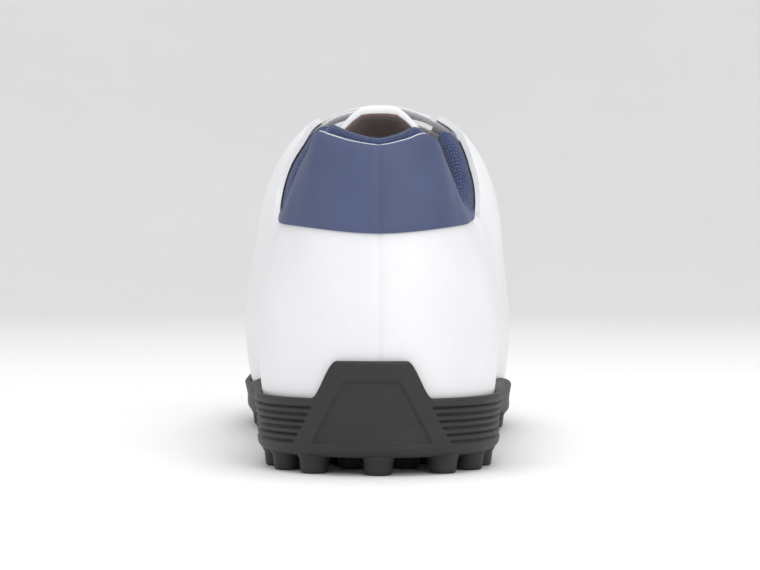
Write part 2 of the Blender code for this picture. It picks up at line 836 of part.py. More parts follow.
def finish(obj):
    colour, roughness = FINISHES[obj.name]
    material = bpy.data.materials.new(obj.name)
    material.use_nodes = True
    shader = material.node_tree.nodes["Principled BSDF"]
    shader.inputs["Base Color"].default_value = (*colour, 1)
    shader.inputs["Roughness"].default_value = roughness
    obj.data.materials.append(material)
    obj.data.shade_smooth()
    obj.data.set_sharp_from_angle(angle=math.radians(35))


def new_collection(name):
    collection = bpy.data.collections.new(name)
    bpy.context.scene.collection.children.link(collection)
    return collection


def stand_on_origin(pieces, cutters):
    """Move the shoe so that the middle of its footprint is over the origin."""
    points = np.array([vertex.co for piece in pieces for vertex in piece.data.vertices])
    middle = (points.min(axis=0) + points.max(axis=0)) / 2
    root = bpy.data.objects.new("football_shoe", None)
    bpy.context.scene.collection.objects.link(root)
    root.location = (-middle[0], -middle[1], 0)
    for obj in (*pieces, *cutters.objects):
        obj.parent = root


def main():
    for obj in list(bpy.data.objects):
        bpy.data.objects.remove(obj)
    shoe = new_collection("football shoe")
    cutters = new_collection("cutters")
    ring = ring_of_columns()
    upper = make_upper(ring, shoe)
    punch_eyelets(upper, cutters)
    pieces = [
        make_outsole(ring, shoe, cutters),
        upper,
        make_insole(ring, shoe),
        make_lining(ring, shoe),
        make_panel(ring, shoe),
        make_tongue(shoe),
        make_laces(shoe, cutters),
    ]
    for piece in pieces:
        finish(piece)
    stand_on_origin(pieces, cutters)


main()
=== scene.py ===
# Looks of a low football shoe for artificial turf, right foot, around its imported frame.
# Metres, +Z up, +Y towards the toe, +X towards the lateral side.
import math
from collections import namedtuple

import bmesh
import bpy
import numpy as np
from mathutils import Matrix, Vector


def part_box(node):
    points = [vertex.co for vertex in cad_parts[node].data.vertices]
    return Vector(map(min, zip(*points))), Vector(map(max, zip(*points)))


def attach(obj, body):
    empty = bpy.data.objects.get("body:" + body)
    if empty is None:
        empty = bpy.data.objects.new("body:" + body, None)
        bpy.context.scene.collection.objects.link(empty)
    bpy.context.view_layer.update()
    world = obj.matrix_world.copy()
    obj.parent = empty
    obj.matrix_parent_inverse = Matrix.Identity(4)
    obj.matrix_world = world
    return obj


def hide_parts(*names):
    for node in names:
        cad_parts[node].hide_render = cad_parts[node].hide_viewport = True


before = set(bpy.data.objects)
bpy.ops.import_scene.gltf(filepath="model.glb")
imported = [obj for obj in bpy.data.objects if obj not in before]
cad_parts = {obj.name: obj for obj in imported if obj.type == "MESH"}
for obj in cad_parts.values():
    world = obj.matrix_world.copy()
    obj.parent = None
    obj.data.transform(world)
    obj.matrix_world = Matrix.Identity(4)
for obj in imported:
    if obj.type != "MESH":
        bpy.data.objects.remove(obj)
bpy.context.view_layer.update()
body = "root"
millimetre = 0.001
print("frame loaded")

# The last: the shape that the upper is pulled over, measured from the back of the heel
last = {
    "length": 0.288,
    "widths": {"heel": 0.0715, "waist": 0.0720, "ball": 0.0950, "toe": 0.0720},
    "heights": {"heel": 0.0920, "ankle": 0.0735, "instep": 0.1110, "ball": 0.0690, "toe": 0.0520},
    "heelCentre": 0.0400,
    "toeCentre": 0.2530,
    "heelFan": 0.0350,
    "toeFan": 0.0280,
    "clearance": 0.0003,
    # width, along, medial, lateral
    "outline": (
        ("heel", 0.000, 0.014, -0.014), ("heel", 0.025, 0.312, 0.284),
        ("heel", 0.070, 0.455, 0.425), ("heel", 0.160, 0.513, 0.487),
        ("heel", 0.270, 0.497, 0.485), ("waist", 0.380, 0.472, 0.505),
        ("ball", 0.500, 0.426, 0.437), ("ball", 0.600, 0.490, 0.479),
        ("ball", 0.700, 0.520, 0.474), ("ball", 0.780, 0.508, 0.432),
        ("toe", 0.880, 0.590, 0.410), ("toe", 0.950, 0.520, 0.225),
        ("toe", 0.985, 0.385, 0.050), ("toe", 1.000, 0.165, -0.165),
    ),
    # along, across
    "midline": (
        (0.00, -0.010), (0.33, -0.008), (0.52, -0.028),
        (0.70, -0.062), (0.88, -0.110), (1.00, -0.140),
    ),
    # height, way, ridge, widest, square medial and lateral, bulge medial and lateral
    "sections": (
        ("heel", 0.000, 1.360, 0.400, 2.200, 2.200, 0.020, 0.020),
        ("heel", 0.059, 1.413, 0.400, 2.200, 2.000, 0.020, 0.020),
        ("heel", 0.0955, 1.251, 0.400, 2.050, 1.750, 0.020, 0.020),
        ("heel", 0.127, 1.118, 0.405, 2.050, 1.720, 0.021, 0.020),
        ("heel", 0.163, 1.022, 0.410, 2.050, 1.800, 0.024, 0.022),
        ("ankle", 0.208, 1.258, 0.520, 2.100, 1.950, 0.029, 0.027),
        ("ankle", 0.253, 1.279, 0.545, 2.500, 2.200, 0.037, 0.033),
        ("ankle", 0.288, 1.317, 0.575, 2.450, 2.220, 0.048, 0.041),
        ("ankle", 0.3125, 1.367, 0.615, 2.420, 2.300, 0.060, 0.050),
        ("instep", 0.337, 0.932, 0.450, 2.450, 2.450, 0.073, 0.058),
        ("instep", 0.358, 0.969, 0.487, 2.270, 2.450, 0.083, 0.062),
        ("instep", 0.382, 0.994, 0.520, 2.250, 2.420, 0.092, 0.064),
        ("instep", 0.434, 0.960, 0.505, 2.250, 2.350, 0.098, 0.062),
        ("instep", 0.503, 0.878, 0.460, 2.200, 2.250, 0.096, 0.052),
        ("instep", 0.573, 0.786, 0.410, 2.150, 2.150, 0.076, 0.036),
        ("ball", 0.642, 1.130, 0.560, 2.150, 2.150, 0.052, 0.030),
        ("ball", 0.710, 1.010, 0.500, 2.200, 2.200, 0.036, 0.028),
        ("ball", 0.780, 0.900, 0.450, 2.250, 2.250, 0.028, 0.026),
        ("toe", 0.850, 1.090, 0.570, 2.300, 2.300, 0.024, 0.022),
        ("toe", 0.932, 0.980, 0.600, 2.500, 2.500, 0.020, 0.020),
        ("toe", 1.100, 0.980, 0.680, 2.600, 2.600, 0.018, 0.018),
    ),
    # height, way, medial, lateral
    "topline": (
        ("heel", 0.000, 1.000, 1.000),
        ("heel", 0.028, 1.012, 1.016),
        ("heel", 0.052, 1.032, 1.037),
        ("heel", 0.070, 1.046, 1.018),
        ("heel", 0.0955, 0.985, 0.966),
        ("heel", 0.127, 0.920, 0.897),
        ("heel", 0.163, 0.856, 0.839),
        ("ankle", 0.208, 1.022, 1.003),
        ("ankle", 0.253, 1.004, 0.988),
        ("ankle", 0.288, 1.035, 1.018),
        ("ankle", 0.3125, 1.108, 1.085),
        ("instep", 0.337, 0.812, 0.795),
        ("instep", 0.358, 0.885, 0.866),
        ("instep", 0.382, 0.955, 0.935),
        ("instep", 0.400, 1.060, 1.050),
    ),
}
throat = {"start": 0.0930, "length": 0.0640, "topHalf": 0.0200, "frontHalf": 0.0115, "roundFrom": 0.82}
Column = namedtuple("Column", "side foot direction reach way y")


def smooth(xs, ys, x):
    # A curve through the points that doesn't swing past them
    xs, ys = np.asarray(xs, float), np.asarray(ys, float)
    steps = np.diff(xs)
    rises = np.diff(ys) / steps
    slopes = np.zeros(len(xs))
    for k in range(1, len(xs) - 1):
        if rises[k - 1] * rises[k] > 0:
            before, after = 2 * steps[k] + steps[k - 1], steps[k] + 2 * steps[k - 1]
            slopes[k] = (before + after) / (before / rises[k - 1] + after / rises[k])
    x = np.clip(x, xs[0], xs[-1])
    k = np.clip(np.searchsorted(xs, x, side="right") - 1, 0, len(xs) - 2)
    span = xs[k + 1] - xs[k]
    t = (x - xs[k]) / span
    return (
        (1 + 2 * t) * (1 - t) ** 2 * ys[k]
        + t * (1 - t) ** 2 * span * slopes[k]
        + t * t * (3 - 2 * t) * ys[k + 1]
        + t * t * (t - 1) * span * slopes[k + 1]
    )


def splineThrough(points, perSpan):
    # A closed cubic curve through the points, spaced by their distances
    points = np.asarray(points, float)
    count = len(points)
    gaps = np.linalg.norm(np.roll(points, -1, axis=0) - points, axis=1)
    matrix, right = np.zeros((count, count)), np.zeros((count, 2))
    for k in range(count):
        before, after = gaps[k - 1], gaps[k]
        matrix[k, k - 1] += after
        matrix[k, k] += 2 * (before + after)
        matrix[k, (k + 1) % count] += before
        ahead = before * (points[(k + 1) % count] - points[k]) / after
        right[k] = 3 * (after * (points[k] - points[k - 1]) / before + ahead)
    tangents = np.linalg.solve(matrix, right)
    t = np.linspace(0, 1, perSpan, endpoint=False)[:, None]
    spans = []
    for k in range(count):
        after = (k + 1) % count
        spans.append(
            (1 + 2 * t) * (1 - t) ** 2 * points[k]
            + t * (1 - t) ** 2 * gaps[k] * tangents[k]
            + t * t * (3 - 2 * t) * points[after]
            + t * t * (t - 1) * gaps[k] * tangents[after]
        )
    return np.vstack(spans)


def outlinePoints():
    widths, length = last["widths"], last["length"]
    lateral = [(row[3] * widths[row[0]], row[1] * length) for row in last["outline"]]
    medial = [(-row[2] * widths[row[0]], row[1] * length) for row in last["outline"][1:-1]]
    return splineThrough(lateral + medial[::-1], 40)


soleOutline = outlinePoints()


def fromTable(rows, column, way):
    ways = [row[1] * last["length"] for row in rows]
    return smooth(ways, [row[column] * last["heights"][row[0]] for row in rows], way)


def alongTable(rows, unit, y):
    return smooth([row[0] * last["length"] for row in rows], [row[1] * unit for row in rows], y)


def easeStep(x):
    x = np.clip(x, 0, 1)
    return x * x * (3 - 2 * x)


def bumpAt(x, middle, width):
    return np.exp(-(((x - middle) / width) ** 2))


def midline(y):
    return alongTable(last["midline"], last["widths"]["ball"], y)


def at(column, reach):
    return (
        column.foot[0] + column.direction[0] * reach,
        column.foot[1] + column.direction[1] * reach,
    )


def fanColumn(side, y, turn, way):
    centre = np.array((float(midline(y)), y))
    away = soleOutline - centre
    turns = np.arctan2(away[:, 0], -away[:, 1])
    order = np.argsort(turns)
    reach = np.interp(side * turn, turns[order], np.hypot(*away[order].T), period=2 * math.pi)
    direction = (side * math.sin(turn), -math.cos(turn))
    return Column(side, tuple(centre), direction, float(reach), way, y)


def sideColumn(side, y):
    x, ys = soleOutline[:, 0], soleOutline[:, 1]
    half = np.flatnonzero(side * (x - midline(ys)) > 0)
    half = half[np.argsort(ys[half])]
    reach = float(abs(np.interp(y, ys[half], x[half]) - midline(y)))
    way = last["heelFan"] * math.pi / 2 + y - last["heelCentre"]
    return Column(side, (float(midline(y)), y), (side, 0.0), reach, way, y)


def columnAtWay(way):
    # The way counts from the back seam, negative on the medial side
    side, far = (1 if way >= 0 else -1), abs(way)
    quarter = last["heelFan"] * math.pi / 2
    if far < quarter:
        return fanColumn(side, last["heelCentre"], far / last["heelFan"], far)
    return sideColumn(side, far - quarter + last["heelCentre"])


def ringOfColumns(heelStep, sideStep):
    # Round the shoe: back seam, lateral side, toe, medial side
    quarter = math.pi / 2
    nearSeam = np.linspace(0, 0.05, 7)[:-1]
    heelTurns = np.linspace(0.05, quarter, int(last["heelFan"] * quarter / heelStep))[:-1]
    throatEnd = throat["start"] + throat["length"]
    roundLength = throat["length"] * (1 - throat["roundFrom"])
    roundTurns = np.linspace(0, quarter, 15)[:-1]
    count = int((throatEnd - roundLength - last["heelCentre"]) / sideStep)
    stations = np.concatenate(
        (
            np.linspace(last["heelCentre"], throatEnd - roundLength, count)[:-1],
            throatEnd - roundLength + roundLength * np.sin(roundTurns),
            np.linspace(throatEnd, last["toeCentre"], int((last["toeCentre"] - throatEnd) / sideStep)),
        )
    )
    toeTurns = np.linspace(0, quarter, int(last["toeFan"] * quarter / sideStep))[1:]
    toeWay = last["heelFan"] * quarter + last["toeCentre"] - last["heelCentre"]
    halves = []
    for side in (1, -1):
        half = [
            fanColumn(side, last["heelCentre"], turn, last["heelFan"] * turn)
            for turn in (*nearSeam, *heelTurns)
        ]
        half += [sideColumn(side, y) for y in stations]
        half += [
            fanColumn(side, last["toeCentre"], quarter + turn, toeWay + last["toeFan"] * turn)
            for turn in toeTurns
        ]
        halves.append(half)
    return halves[0] + halves[1][-2:0:-1]


def rib(column):
    # Reach and height up one upright section, from the sole to the ridge
    sections = last["sections"]
    ridge = fromTable(sections, 2, column.way)
    widest = fromTable(sections, 3, column.way)
    ways = [row[1] * last["length"] for row in sections]
    square = smooth(ways, [row[5 if column.side > 0 else 4] for row in sections], column.way)
    bulges = [row[7 if column.side > 0 else 6] for row in sections]
    bulge = smooth(ways, bulges, column.way) * last["widths"]["ball"]
    base = column.reach - sole["wall"] - last["clearance"]
    footZ = float(bedHeight(at(column, base)[1])) + last["clearance"]
    share = np.linspace(0, 1, 30, endpoint=False)
    lower = (base + bulge * np.sin(share * math.pi / 2), footZ + (widest - footZ) * share)
    angle = np.linspace(0, math.pi / 2, 90)
    over = (base + bulge) * np.maximum(np.cos(angle), 0) ** (2 / square)
    up = widest + (ridge - widest) * np.sin(angle) ** (2 / square)
    return np.vstack((np.column_stack(lower), np.column_stack((over, up))))


def inset(profile, depth):
    tangent = np.gradient(profile, axis=0)
    tangent /= np.linalg.norm(tangent, axis=1)[:, None]
    return profile + np.reshape(depth, (-1, 1)) * np.column_stack((-tangent[:, 1], tangent[:, 0]))


def collarHeight(column):
    return float(fromTable(last["topline"], 3 if column.side > 0 else 2, column.way))


def throatHalf(y):
    share = np.clip((y - throat["start"]) / throat["length"], 0, 1)
    plain = throat["topHalf"] + (throat["frontHalf"] - throat["topHalf"]) * share
    end = np.clip((share - throat["roundFrom"]) / (1 - throat["roundFrom"]), 0, 1)
    return float(plain * math.sqrt(max(1 - end**2, 0)))


def edgePlace(column, profile):
    # Where the rib meets the collar's edge or the throat, as a place in its list of points
    places = np.arange(len(profile), dtype=float)
    edge = places[-1]
    if column.way <= last["topline"][-1][1] * last["length"]:
        edge = float(np.interp(collarHeight(column), profile[:, 1], places))
    inThroat = throat["start"] <= column.y <= throat["start"] + throat["length"]
    if inThroat and column.direction[1] == 0:
        edge = min(edge, float(np.interp(-throatHalf(column.y), -profile[:, 0], places)))
    return edge


def sample(profile, start, end, rows):
    # Points along a profile between two places in its list. rows: a count, or shares of the length
    places = np.arange(len(profile), dtype=float)
    fine = np.linspace(start, end, 240)
    line = np.column_stack([np.interp(fine, places, profile[:, k]) for k in (0, 1)])
    length = np.concatenate(([0], np.cumsum(np.linalg.norm(np.diff(line, axis=0), axis=1))))
    shares = np.linspace(0, 1, rows) if isinstance(rows, int) else np.asarray(rows)
    return np.column_stack([np.interp(shares * length[-1], length, line[:, k]) for k in (0, 1)])


def inSpace(column, line):
    x = column.foot[0] + column.direction[0] * line[:, 0]
    y = column.foot[1] + column.direction[1] * line[:, 0]
    return np.column_stack((x, y, line[:, 1]))


def skinOver(y, across, lift=0.0):
    # A point over the instep, a distance across from the middle line
    profile = inset(rib(sideColumn(1 if across > 0 else -1, y)), -lift)
    order = np.argsort(profile[:, 0])
    z = np.interp(abs(across), profile[order, 0], profile[order, 1])
    return np.array((float(midline(y)) + across, y, float(z)))


def normalOver(y, across):
    small = 0.4 * millimetre
    way = skinOver(y + small, across) - skinOver(y - small, across)
    over = skinOver(y, across + small) - skinOver(y, across - small)
    normal = np.cross(over, way)
    return normal / np.linalg.norm(normal)


# The sole's heights, which the last stands on
sole = {
    "studHeight": 0.0050,
    "studTopRadius": 0.0044,
    "studTipRadius": 0.0039,
    "studTipRound": 0.0008,
    "studPitch": 0.0130,
    "studRingGap": 0.0168,
    "studEdge": 0.0062,
    "studRoot": 0.0012,
    "archRise": 0.0030,
    "toeSpring": 0.0110,
    "heelStack": 0.0080,
    "forefootStack": 0.0055,
    "wall": 0.0024,
    "wallHeight": 0.0165,
    "wallLine": ((0.0, 1.0), (0.16, 0.99), (0.34, 0.82), (0.50, 0.70), (0.70, 0.68), (0.86, 0.82), (1.0, 1.06)),
    "topRound": 0.0011,
    "edgeRound": 0.0030,
    "ribPitch": 0.00193,
    "ribCount": 6,
    "ribDepth": 0.00075,
    "ribStart": 0.0022,
    "tabHeight": 0.0320,
    "tabTopWidth": 0.0190,
    "tabBaseWidth": 0.0340,
    "tabCentre": -0.0028,
    "tabRecess": 0.0008,
    "tabBorder": 0.0052,
    "tabFieldLow": 0.0088,
    "tabFieldTop": 0.0265,
    "tabFlare": 0.545,
}


def underside(y):
    share = np.asarray(y) / last["length"]
    arch = sole["archRise"] * easeStep((share - 0.26) / 0.12) * easeStep((0.60 - share) / 0.12)
    spring = sole["toeSpring"] * np.clip((share - 0.72) / 0.28, 0, 1) ** 1.8
    return sole["studHeight"] + arch + spring


def bedHeight(y):
    blend = easeStep((np.asarray(y) / last["length"] - 0.28) / 0.34)
    stack = sole["heelStack"] + (sole["forefootStack"] - sole["heelStack"]) * blend
    return underside(y) + stack


def wallTop(column):
    x, y = at(column, column.reach)
    plain = underside(y) + alongTable(sole["wallLine"], sole["wallHeight"], y)
    if y > last["heelCentre"]:
        return float(plain)
    off = abs(x - sole["tabCentre"])
    half, least = sole["tabBaseWidth"] / 2, sole["tabTopWidth"] / 2
    return float(plain + (sole["tabHeight"] - plain) * easeStep((half - off) / (half - least)))


# The shift from the heel's back to the frame's origin, read off two of its solids
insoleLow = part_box("insole")[0]
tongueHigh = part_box("tongue")[1]
tongue = {
    "halfWidth": 0.0230,
    "thick": 0.0042,
    "top": 0.0930,
    "end": 0.1720,
    "crown": 0.0085,
    "leastCrown": 0.0015,
    "archHalf": 0.0140,
    "ease": 0.0060,
}
upper = {"wall": 0.0018, "rows": 56, "seamDepth": 0.0005, "seamWidth": 0.0009}
insole = {"thick": 0.0035, "round": 0.0012}


def insoleEdge(column):
    return rib(column)[0, 0] - upper["wall"] - 2 * last["clearance"]


heelColumns = [columnAtWay(way) for way in np.linspace(-0.03, 0.03, 61)]
heelEdge = [inSpace(c, np.array([[insoleEdge(c), 0]]))[0, 1] for c in heelColumns]
shift = Vector((
    tongueHigh.x - float(midline(tongue["top"])) - tongue["halfWidth"],
    insoleLow.y - min(heelEdge),
    0,
))
ring = ringOfColumns(0.8 * millimetre, 1.5 * millimetre)
print("last: %d columns, shift %.5f %.5f" % (len(ring), shift.x, shift.y))


# Meshes

def gridMesh(name, lines, closedRun=False, closedLine=False, caps=False, us=None, vs=None):
    # Quads between neighbouring lines of points. us: one value a line, vs: values along each line
    lines = np.asarray(lines, float)
    runs, count = lines.shape[:2]
    index = np.arange(runs * count).reshape(runs, count)
    k = np.arange(runs if closedRun else runs - 1)
    j = np.arange(count if closedLine else count - 1)
    kk, jj = np.meshgrid(k, j, indexing="ij")
    kNext, jNext = (kk + 1) % runs, (jj + 1) % count
    quads = np.stack((index[kk, jj], index[kk, jNext], index[kNext, jNext], index[kNext, jj]), -1)
    faces = quads.reshape(-1, 4).tolist()
    if caps:
        faces += [index[0].tolist(), index[-1].tolist()]
    mesh = bpy.data.meshes.new(name)
    mesh.from_pydata(lines.reshape(-1, 3).tolist(), [], faces)
    if us is not None:
        vs = np.asarray(vs, float)
        closing = vs[:, :1] + vs[:, -1:] + (vs[:, -1:] - vs[:, -2:-1])
        wide = np.hstack((vs, closing))
        us = np.asarray(us, float)
        corners = ((kk, jj), (kk, jj + 1), (kk + 1, jj + 1), (kk + 1, jj))
        uv = [np.stack((us[a % runs], wide[a % runs, b]), -1) for a, b in corners]
        layer = mesh.uv_layers.new(name="UVMap")
        flat = np.stack(uv, 2).reshape(-1, 2)
        padding = np.zeros((len(layer.data) - len(flat), 2))
        layer.data.foreach_set("uv", np.vstack((flat, padding)).ravel())
    return mesh


def tidyMesh(mesh, sharp=40, merge=2e-6):
    work = bmesh.new()
    work.from_mesh(mesh)
    bmesh.ops.remove_doubles(work, verts=work.verts, dist=merge)
    bmesh.ops.dissolve_degenerate(work, edges=work.edges, dist=merge)
    bmesh.ops.recalc_face_normals(work, faces=work.faces)
    work.to_mesh(mesh)
    work.free()
    mesh.shade_smooth()
    mesh.set_sharp_from_angle(angle=math.radians(sharp))
    return mesh


def newObject(name, mesh, materials=()):
    piece = bpy.data.objects.new(name, mesh)
    bpy.context.scene.collection.objects.link(piece)
    for material in materials:
        mesh.materials.append(material)
    return piece


def applyModifiers(piece):
    graph = bpy.context.evaluated_depsgraph_get()
    mesh = bpy.data.meshes.new_from_object(piece.evaluated_get(graph))
    piece.modifiers.clear()
    piece.data = mesh
    return piece


def settle(piece, slotName, *nodes):
    # Move the finished mesh into the frame and give the piece to its body
    piece.data.transform(Matrix.Translation(shift))
    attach(piece, body)
    if nodes:
        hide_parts(*nodes)
    print("piece %s: %d faces" % (piece.name, len(piece.data.polygons)))
    return piece


# Materials. Patterns read Object coordinates in metres, or a piece's own UV map where they follow it

def newNode(tree, kind, inputs=None, **properties):
    made = tree.nodes.new(kind)
    for key, value in properties.items():
        setattr(made, key, value)
    for key, value in (inputs or {}).items():
        if isinstance(value, bpy.types.NodeSocket):
            tree.links.new(value, made.inputs[key])
        else:
            made.inputs[key].default_value = value
    return made


def mixColours(tree, factor, first, second):
    mix = newNode(tree, "ShaderNodeMix", data_type="RGBA")
    for index, value in ((0, factor), (6, first), (7, second)):
        if isinstance(value, bpy.types.NodeSocket):
            tree.links.new(value, mix.inputs[index])
        else:
            mix.inputs[index].default_value = value if index == 0 else (*value, 1)
    return mix.outputs[2]


def newMaterial(name, look):
    # look: colour and second colour, their patches, roughness from and to, grain, and gloss
    material = bpy.data.materials.new(name)
    material.use_nodes = True
    tree = material.node_tree
    shader = tree.nodes["Principled BSDF"]
    coords = newNode(tree, "ShaderNodeTexCoord")
    place = coords.outputs["UV" if look.get("onUv") else "Object"]
    stretch = newNode(tree, "ShaderNodeMapping", {"Vector": place, "Scale": look.get("stretch", (1, 1, 1))})
    place = stretch.outputs[0]
    patches = newNode(
        tree, "ShaderNodeTexNoise", {"Vector": place, "Scale": look["patches"], "Detail": 4.0, "Roughness": 0.6}
    )
    soft = newNode(
        tree, "ShaderNodeMapRange",
        {"Value": patches.outputs["Fac"], "From Min": 0.3, "From Max": 0.7},
    )
    colour = mixColours(tree, soft.outputs[0], look["colour"], look["second"])
    if look.get("cells"):
        grain = newNode(
            tree, "ShaderNodeTexVoronoi",
            {"Vector": place, "Scale": look["grain"], "Randomness": look["cells"]},
        )
        height = grain.outputs["Distance"]
    else:
        grain = newNode(
            tree, "ShaderNodeTexNoise", {"Vector": place, "Scale": look["grain"], "Detail": 3.0}
        )
        height = grain.outputs["Fac"]
    if look.get("flecks"):
        low, high = look["fleckRange"]
        spots = newNode(
            tree, "ShaderNodeMapRange", {"Value": height, "From Min": high, "From Max": low}
        )
        colour = mixColours(tree, spots.outputs[0], (0, 0, 0), look["flecks"])
        colour = addTo(tree, colour, patches.outputs["Fac"], soft.outputs[0], look)
    tree.links.new(colour, shader.inputs["Base Color"])
    low, high = look["rough"]
    rough = newNode(
        tree, "ShaderNodeMapRange",
        {"Value": patches.outputs["Fac"], "From Min": 0.3, "From Max": 0.7, "To Min": low, "To Max": high},
    )
    tree.links.new(rough.outputs[0], shader.inputs["Roughness"])
    bump = newNode(
        tree, "ShaderNodeBump", {"Height": height, "Strength": look.get("bump", 0.5), "Distance": look["depth"]}
    )
    tree.links.new(bump.outputs[0], shader.inputs["Normal"])
    for socket, value in look.get("gloss", {}).items():
        shader.inputs[socket].default_value = value
    return material


def addTo(tree, flecks, spread, soft, look):
    base = mixColours(tree, soft, look["colour"], look["second"])
    add = newNode(tree, "ShaderNodeMix", data_type="RGBA", blend_type="ADD")
    add.inputs[0].default_value = 1
    tree.links.new(base, add.inputs[6])
    tree.links.new(flecks, add.inputs[7])
    return add.outputs[2]


looks = {
    "upperCoat": {
        "colour": (0.77, 0.775, 0.80), "second": (0.83, 0.83, 0.85), "patches": 34, "rough": (0.34, 0.46),
        "grain": 1500, "depth": 0.00006, "bump": 0.35, "gloss": {"Coat Weight": 0.12, "Coat Roughness": 0.3},
    },
    "panelCoat": {
        "colour": (0.050, 0.066, 0.150), "second": (0.066, 0.086, 0.180), "patches": 60, "rough": (0.5, 0.62),
        "grain": 1900, "cells": 1.0, "depth": 0.00008, "bump": 0.5,
    },
    "liningKnit": {
        "colour": (0.010, 0.022, 0.075), "second": (0.016, 0.032, 0.10), "patches": 160, "rough": (0.85, 0.95),
        "grain": 1050, "cells": 0.22, "depth": 0.00028, "bump": 0.8, "onUv": True, "flecks": (0.07, 0.10, 0.20),
        "fleckRange": (0.10, 0.34), "gloss": {"Sheen Weight": 0.25, "Sheen Roughness": 0.5},
    },
    "tongueFace": {
        "colour": (0.74, 0.74, 0.76), "second": (0.82, 0.82, 0.83), "patches": 40, "rough": (0.42, 0.55),
        "grain": 1300, "depth": 0.00008, "bump": 0.4,
    },
    "tongueBack": {
        "colour": (0.20, 0.135, 0.125), "second": (0.29, 0.21, 0.195), "patches": 90, "rough": (0.85, 0.95),
        "grain": 1300, "cells": 0.5, "depth": 0.00018, "bump": 0.6, "gloss": {"Sheen Weight": 0.3},
    },
    "soleRubber": {
        "colour": (0.012, 0.012, 0.014), "second": (0.021, 0.021, 0.023), "patches": 70, "rough": (0.5, 0.66),
        "grain": 1400, "depth": 0.00010, "bump": 0.4,
    },
    "insoleCloth": {
        "colour": (0.085, 0.088, 0.10), "second": (0.11, 0.113, 0.128), "patches": 70, "rough": (0.85, 0.95),
        "grain": 900, "cells": 0.3, "depth": 0.00020, "bump": 0.6, "gloss": {"Sheen Weight": 0.3},
    },
    "laceBraid": {
        "colour": (0.74, 0.74, 0.76), "second": (0.82, 0.82, 0.84), "patches": 120, "rough": (0.7, 0.85),
        "grain": 900, "cells": 0.12, "depth": 0.00022, "bump": 0.8, "onUv": True, "gloss": {"Sheen Weight": 0.2},
    },
    "stripeCoat": {
        "colour": (0.055, 0.052, 0.145), "second": (0.068, 0.064, 0.165), "patches": 120, "rough": (0.45, 0.6),
        "grain": 1800, "depth": 0.00005, "bump": 0.4,
    },
}
materials = {name: newMaterial(name, look) for name, look in looks.items()}
print("materials made")


# The upper: one shell over the last, with its collar, throat and eyelets open

def relief(column, line):
    # How far the skin is pushed in: the closing seam at the heel and a few soft flex folds
    y, z = at(column, line[:, 0])[1], line[:, 1]
    seam = upper["seamDepth"] * bumpAt(column.way, 0, upper["seamWidth"])
    depth = np.full(len(line), seam)
    for middle, slant, width, deep in ((0.168, 0.10, 0.0048, 0.0007), (0.185, 0.16, 0.0052, 0.0006)):
        fold = bumpAt(y + slant * (z - 0.06), middle, width)
        depth = depth + deep * fold * easeStep((z - 0.030) / 0.02)
    return depth


def makeUpper():
    lines = []
    for column in ring:
        profile = rib(column)
        line = sample(profile, 0, edgePlace(column, profile), upper["rows"])
        lines.append(inSpace(column, inset(line, relief(column, line))))
    mesh = tidyMesh(gridMesh("upperShell", lines, closedRun=True))
    shell = newObject("upperShell", mesh, [materials["upperCoat"]])
    wall = shell.modifiers.new("wall", "SOLIDIFY")
    wall.thickness = upper["wall"]
    wall.offset = -1
    wall.use_even_offset = True
    cutter = eyeletCutter()
    cut = shell.modifiers.new("eyelets", "BOOLEAN")
    cut.operation = "DIFFERENCE"
    cut.object = cutter
    applyModifiers(shell)
    bpy.data.objects.remove(cutter)
    shell.data.set_sharp_from_angle(angle=math.radians(50))
    return settle(shell, "upper_synthetic", "upper")


eyelets = {"rows": 6, "radius": 0.0022, "inset": 0.0070}


def eyeletPlaces():
    first = throat["start"] + eyelets["inset"]
    final = throat["start"] + throat["length"] - eyelets["inset"]
    return [(float(y), throatHalf(y) + eyelets["inset"]) for y in np.linspace(first, final, eyelets["rows"])]


def eyeletCutter():
    work = bmesh.new()
    for y, across in eyeletPlaces():
        for side in (-1, 1):
            turn = Vector(normalOver(y, side * across)).to_track_quat("Z", "Y").to_matrix().to_4x4()
            turn.translation = Vector(skinOver(y, side * across))
            bmesh.ops.create_cone(
                work, cap_ends=True, segments=24, radius1=eyelets["radius"],
                radius2=eyelets["radius"], depth=upper["wall"] * 5, matrix=turn,
            )
    mesh = bpy.data.meshes.new("eyeletCutter")
    work.to_mesh(mesh)
    work.free()
    return newObject("eyeletCutter", mesh)


makeUpper()


# The heel panel and the collar's padded lining

panel = {
    "thick": 0.0008,
    "gap": 0.0003,
    "height": 0.0250,
    "topMargin": 0.0005,
    "rows": 22,
    "line": ((0.0, 1.0), (0.085, 0.91), (0.150, 0.86), (0.195, 0.83), (0.212, 0.79), (0.220, 0.71)),
}
lining = {
    "depth": 0.0400,
    "pad": 0.0055,
    "hem": 0.0016,
    "rise": 0.0038,
    "gap": 0.0009,
    "rows": 26,
    "lastWay": 0.0930 + 0.0350 * math.pi / 2 - 0.0400,
}


def panelLow(way):
    return last["heights"]["heel"] - float(alongTable(panel["line"], panel["height"], abs(way)))


